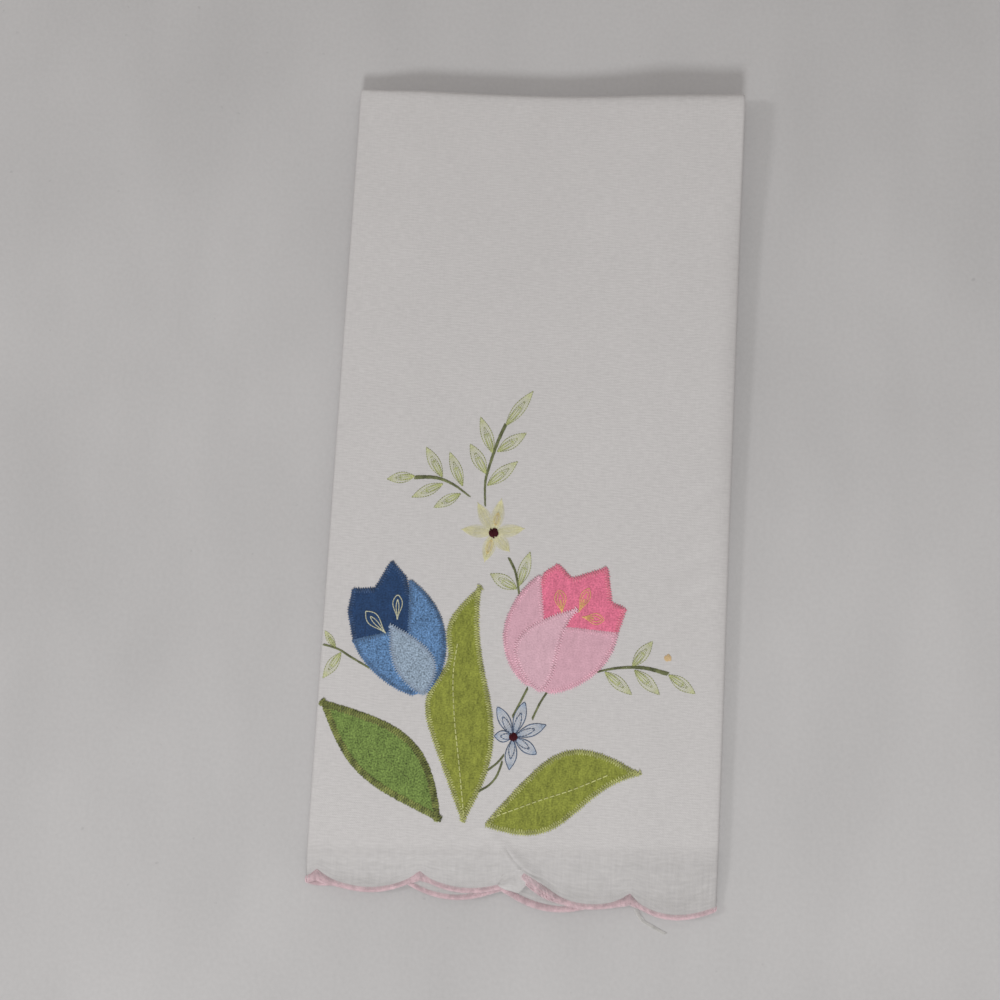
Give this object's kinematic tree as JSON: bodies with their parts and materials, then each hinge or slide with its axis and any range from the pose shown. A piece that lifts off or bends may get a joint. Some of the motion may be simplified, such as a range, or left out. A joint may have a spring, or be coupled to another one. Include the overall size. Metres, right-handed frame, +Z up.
{
  "type": "folded hand towel",
  "caption": "White hand towel with a scalloped pink edging and appliquéd tulips and leaves, folded lengthwise and in half and laid flat.",
  "frame": {"origin": "under the middle of the folded towel, on the surface that it lies on", "axes": "+Z up; +Y along the panel from the scalloped hem to the top fold; +X to the right across the panel"},
  "size_m": [0.14, 0.2897, 0.0125],
  "materials": {
    "towel_cloth": "matt plain weave",
    "edging_thread": "satin stitch",
    "leaf_green": "matt",
    "olive_green": "matt",
    "dark_blue": "matt",
    "mid_blue": "matt",
    "light_blue": "matt",
    "deep_pink": "matt",
    "pale_pink": "matt"
  },
  "bodies": {
    "root": {"towel": "towel_cloth", "scallop_edging": "edging_thread", "leaf_left": "leaf_green", "leaf_middle": "olive_green", "leaf_right": "olive_green", "blue_tulip_heart": "dark_blue", "blue_tulip_left_petal": "mid_blue", "blue_tulip_right_petal": "mid_blue", "blue_tulip_front_petal": "light_blue", "pink_tulip_heart": "deep_pink", "pink_tulip_left_petal": "pale_pink", "pink_tulip_right_petal": "pale_pink", "pink_tulip_front_petal": "pale_pink"}
  },
  "joints": []
}
